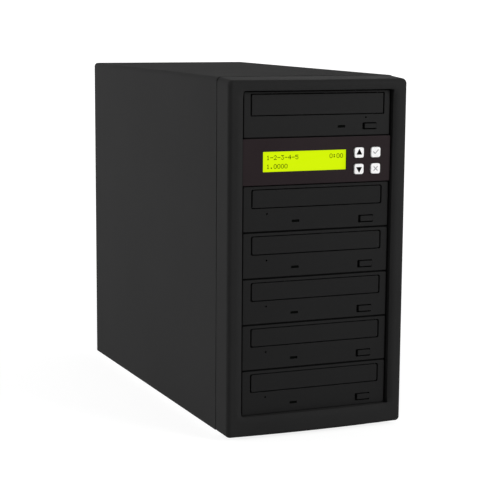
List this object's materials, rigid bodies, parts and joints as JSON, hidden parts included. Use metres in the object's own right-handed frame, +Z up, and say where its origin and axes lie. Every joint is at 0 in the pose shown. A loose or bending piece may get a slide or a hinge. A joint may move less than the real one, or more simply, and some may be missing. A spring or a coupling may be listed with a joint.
{
  "type": "disc duplicator",
  "caption": "Upright black tower that copies discs: tray-loading drives stacked behind a rounded front frame, with a lit display panel and keys near the top.",
  "frame": {"origin": "on the floor, under the middle of the part's box", "axes": "+X to the right seen from the front, +Y from the front to the back, +Z up"},
  "size_m": [0.181, 0.411, 0.3355],
  "materials": {
    "case_paint": "fine black powder coat, satin",
    "bare_steel": "zinc plated sheet",
    "bezel_plastic": "moulded black, fine grain",
    "drive_plastic": "moulded black, satin",
    "tray_plastic": "moulded black, satin",
    "panel_film": "dark smooth film",
    "display": "back-lit yellow-green character display",
    "key_plastic": "moulded white",
    "lamp_plastic": "clear smoked lens",
    "board": "green solder mask",
    "rubber": "matt black",
    "black_plastic": "moulded black",
    "mechanism": "grey moulded and pressed parts",
    "guard_wire": "bright plated wire",
    "wiring": "sleeved leads"
  },
  "bodies": {
    "case": {"front_bezel": "bezel_plastic", "base_pan": "bare_steel", "front_plate": "bare_steel", "rear_panel": "bare_steel", "case_cover": "case_paint", "drive_cage": "bare_steel", "rubber_feet": "rubber", "case_screws": "bare_steel", "drive_screws": "bare_steel", "drive_shells": "bare_steel", "drive_mechanisms": "mechanism", "lamp_windows": "lamp_plastic", "panel_faceplate": "panel_film", "panel_bracket": "bare_steel", "lcd_glass": "display", "lcd_module": "board", "circuit_boards": "board", "psu_case": "bare_steel", "power_inlet": "black_plastic", "power_switch_frame": "black_plastic", "fan_frames": "black_plastic", "fan_guards": "guard_wire", "wiring": "wiring", "reader_front": "drive_plastic", "writer_1_front": "drive_plastic", "writer_2_front": "drive_plastic", "writer_3_front": "drive_plastic", "writer_4_front": "drive_plastic", "writer_5_front": "drive_plastic"},
    "reader_drawer": {"reader_tray": "tray_plastic", "reader_tray_door": "drive_plastic"},
    "reader_eject": {"reader_eject_button": "drive_plastic"},
    "reader_turntable": {"reader_spindle": "mechanism"},
    "writer_1_drawer": {"writer_1_tray": "tray_plastic", "writer_1_tray_door": "drive_plastic"},
    "writer_1_eject": {"writer_1_eject_button": "drive_plastic"},
    "writer_1_turntable": {"writer_1_spindle": "mechanism"},
    "writer_2_drawer": {"writer_2_tray": "tray_plastic", "writer_2_tray_door": "drive_plastic"},
    "writer_2_eject": {"writer_2_eject_button": "drive_plastic"},
    "writer_2_turntable": {"writer_2_spindle": "mechanism"},
    "writer_3_drawer": {"writer_3_tray": "tray_plastic", "writer_3_tray_door": "drive_plastic"},
    "writer_3_eject": {"writer_3_eject_button": "drive_plastic"},
    "writer_3_turntable": {"writer_3_spindle": "mechanism"},
    "writer_4_drawer": {"writer_4_tray": "tray_plastic", "writer_4_tray_door": "drive_plastic"},
    "writer_4_eject": {"writer_4_eject_button": "drive_plastic"},
    "writer_4_turntable": {"writer_4_spindle": "mechanism"},
    "writer_5_drawer": {"writer_5_tray": "tray_plastic", "writer_5_tray_door": "drive_plastic"},
    "writer_5_eject": {"writer_5_eject_button": "drive_plastic"},
    "writer_5_turntable": {"writer_5_spindle": "mechanism"},
    "key_up": {"key_up": "key_plastic"},
    "key_down": {"key_down": "key_plastic"},
    "key_enter": {"key_enter": "key_plastic"},
    "key_escape": {"key_escape": "key_plastic"},
    "rocker": {"power_rocker": "black_plastic"},
    "exhaust_fan": {"exhaust_fan_rotor": "black_plastic"},
    "psu_fan": {"psu_fan_rotor": "black_plastic"}
  },
  "joints": [
    {"name": "reader_tray_slide", "type": "slide", "parent": "case", "child": "reader_drawer", "axis": [0, -1, 0], "range_m": [0, 0.145]},
    {"name": "reader_eject_press", "type": "slide", "parent": "case", "child": "reader_eject", "axis": [0, 1, 0], "range_m": [0, 0.0012], "stiffness_N_per_m": 400},
    {"name": "reader_disc_spin", "type": "hinge", "parent": "case", "child": "reader_turntable", "pos_m": [0, -0.1275, 0.29845], "axis": [0, 0, 1], "continuous": true},
    {"name": "writer_1_tray_slide", "type": "slide", "parent": "case", "child": "writer_1_drawer", "axis": [0, -1, 0], "range_m": [0, 0.145]},
    {"name": "writer_1_eject_press", "type": "slide", "parent": "case", "child": "writer_1_eject", "axis": [0, 1, 0], "range_m": [0, 0.0012], "stiffness_N_per_m": 400},
    {"name": "writer_1_disc_spin", "type": "hinge", "parent": "case", "child": "writer_1_turntable", "pos_m": [0, -0.1275, 0.21235], "axis": [0, 0, 1], "continuous": true},
    {"name": "writer_2_tray_slide", "type": "slide", "parent": "case", "child": "writer_2_drawer", "axis": [0, -1, 0], "range_m": [0, 0.145]},
    {"name": "writer_2_eject_press", "type": "slide", "parent": "case", "child": "writer_2_eject", "axis": [0, 1, 0], "range_m": [0, 0.0012], "stiffness_N_per_m": 400},
    {"name": "writer_2_disc_spin", "type": "hinge", "parent": "case", "child": "writer_2_turntable", "pos_m": [0, -0.1275, 0.1693], "axis": [0, 0, 1], "continuous": true},
    {"name": "writer_3_tray_slide", "type": "slide", "parent": "case", "child": "writer_3_drawer", "axis": [0, -1, 0], "range_m": [0, 0.145]},
    {"name": "writer_3_eject_press", "type": "slide", "parent": "case", "child": "writer_3_eject", "axis": [0, 1, 0], "range_m": [0, 0.0012], "stiffness_N_per_m": 400},
    {"name": "writer_3_disc_spin", "type": "hinge", "parent": "case", "child": "writer_3_turntable", "pos_m": [0, -0.1275, 0.12625], "axis": [0, 0, 1], "continuous": true},
    {"name": "writer_4_tray_slide", "type": "slide", "parent": "case", "child": "writer_4_drawer", "axis": [0, -1, 0], "range_m": [0, 0.145]},
    {"name": "writer_4_eject_press", "type": "slide", "parent": "case", "child": "writer_4_eject", "axis": [0, 1, 0], "range_m": [0, 0.0012], "stiffness_N_per_m": 400},
    {"name": "writer_4_disc_spin", "type": "hinge", "parent": "case", "child": "writer_4_turntable", "pos_m": [0, -0.1275, 0.0832], "axis": [0, 0, 1], "continuous": true},
    {"name": "writer_5_tray_slide", "type": "slide", "parent": "case", "child": "writer_5_drawer", "axis": [0, -1, 0], "range_m": [0, 0.145]},
    {"name": "writer_5_eject_press", "type": "slide", "parent": "case", "child": "writer_5_eject", "axis": [0, 1, 0], "range_m": [0, 0.0012], "stiffness_N_per_m": 400},
    {"name": "writer_5_disc_spin", "type": "hinge", "parent": "case", "child": "writer_5_turntable", "pos_m": [0, -0.1275, 0.04015], "axis": [0, 0, 1], "continuous": true},
    {"name": "key_up_press", "type": "slide", "parent": "case", "child": "key_up", "axis": [0, 1, 0], "range_m": [0, 0.0008], "stiffness_N_per_m": 400},
    {"name": "key_down_press", "type": "slide", "parent": "case", "child": "key_down", "axis": [0, 1, 0], "range_m": [0, 0.0008], "stiffness_N_per_m": 400},
    {"name": "key_enter_press", "type": "slide", "parent": "case", "child": "key_enter", "axis": [0, 1, 0], "range_m": [0, 0.0008], "stiffness_N_per_m": 400},
    {"name": "key_escape_press", "type": "slide", "parent": "case", "child": "key_escape", "axis": [0, 1, 0], "range_m": [0, 0.0008], "stiffness_N_per_m": 400},
    {"name": "power_rocker_tilt", "type": "hinge", "parent": "case", "child": "rocker", "pos_m": [-0.044, 0.1949, 0.068], "axis": [1, 0, 0], "range_deg": [0, 18]},
    {"name": "exhaust_fan_spin", "type": "hinge", "parent": "case", "child": "exhaust_fan", "pos_m": [0, 0.1849, 0.19], "axis": [0, 1, 0], "continuous": true},
    {"name": "psu_fan_spin", "type": "hinge", "parent": "case", "child": "psu_fan", "pos_m": [0.024, 0.1849, 0.049], "axis": [0, 1, 0], "continuous": true}
  ]
}
